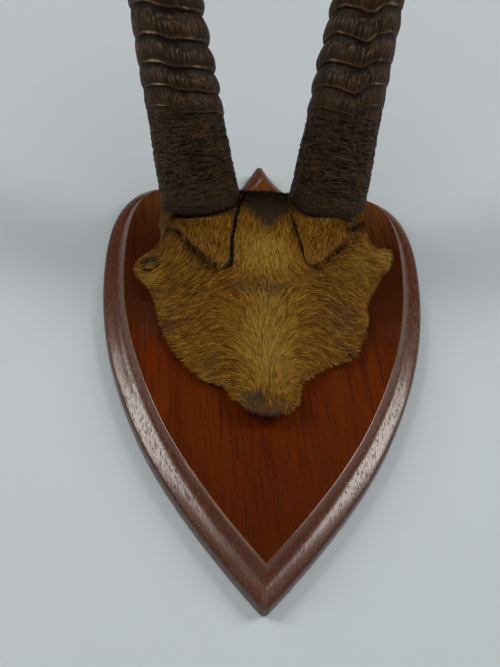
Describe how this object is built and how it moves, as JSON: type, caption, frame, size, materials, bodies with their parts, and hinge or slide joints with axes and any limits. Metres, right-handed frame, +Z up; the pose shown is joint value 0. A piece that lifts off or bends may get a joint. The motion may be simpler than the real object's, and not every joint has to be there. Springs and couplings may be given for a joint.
{
  "type": "mounted antelope horns",
  "caption": "Pair of ringed antelope horns on the furred skin of the forehead, fixed to a moulded wooden wall shield.",
  "frame": {"origin": "on the flat back of the shield, on its centre line, level with its widest place", "axes": "+Z up the wall, +Y into the wall, so the horns stand out along -Y; +X to the right as seen from the front"},
  "size_m": [0.2225, 0.3223, 0.5803],
  "materials": {
    "wood": "reddish brown mahogany with a soft varnish",
    "fur_skin": "dried skin with short golden tan fur",
    "horn": "dark brown horn, half matt, with ridges and lengthwise fibres",
    "screw_steel": "dull grey steel"
  },
  "bodies": {
    "root": {"shield": "wood", "scalp": "fur_skin", "left_horn": "horn", "right_horn": "horn", "upper_screw": "screw_steel", "lower_screw": "screw_steel"}
  },
  "joints": []
}
